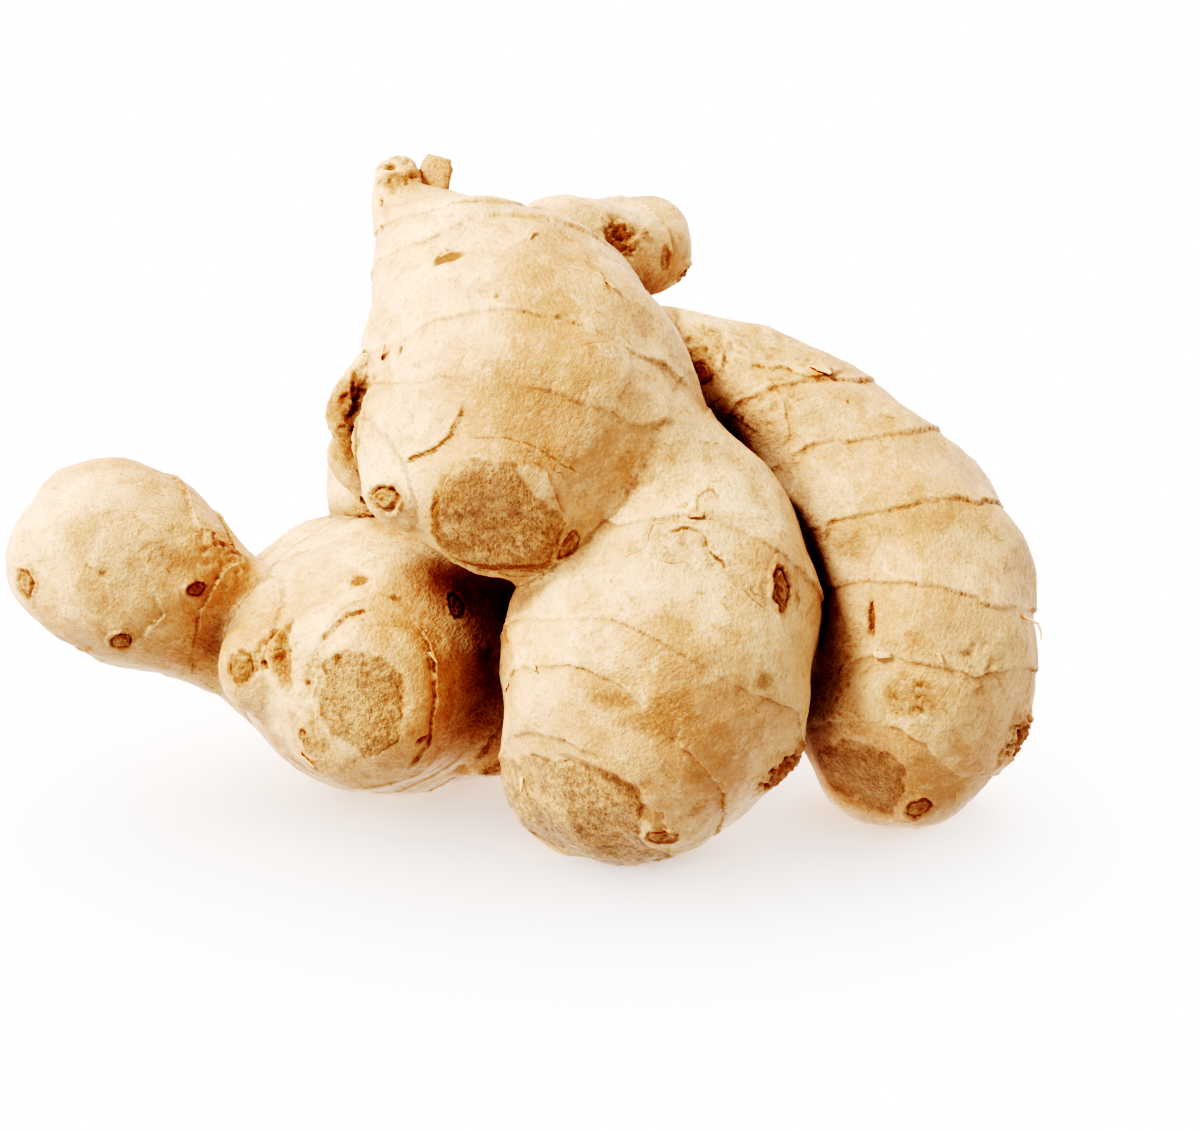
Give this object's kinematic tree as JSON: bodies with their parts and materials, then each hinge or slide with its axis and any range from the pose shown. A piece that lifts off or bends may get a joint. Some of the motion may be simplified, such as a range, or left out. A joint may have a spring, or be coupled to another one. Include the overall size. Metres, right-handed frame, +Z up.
{
  "type": "ginger root",
  "caption": "Fresh ginger rhizome, a hand of stout ringed lobes grown as one piece, with domed buds, corky end scars and a short withered stem stub",
  "frame": {"origin": "on the ground, under the middle of the rhizome's box", "axes": "+X along the longest extent, from the raised left lobe to the right lobe; -Y towards the corky ends of the front lobes; +Z up"},
  "size_m": [0.145, 0.083, 0.0904],
  "materials": {
    "skin": "thin dry papery skin, satin where it is taut, matt and corky on the end scars"
  },
  "bodies": {
    "root": {"rhizome": "skin"}
  },
  "joints": []
}
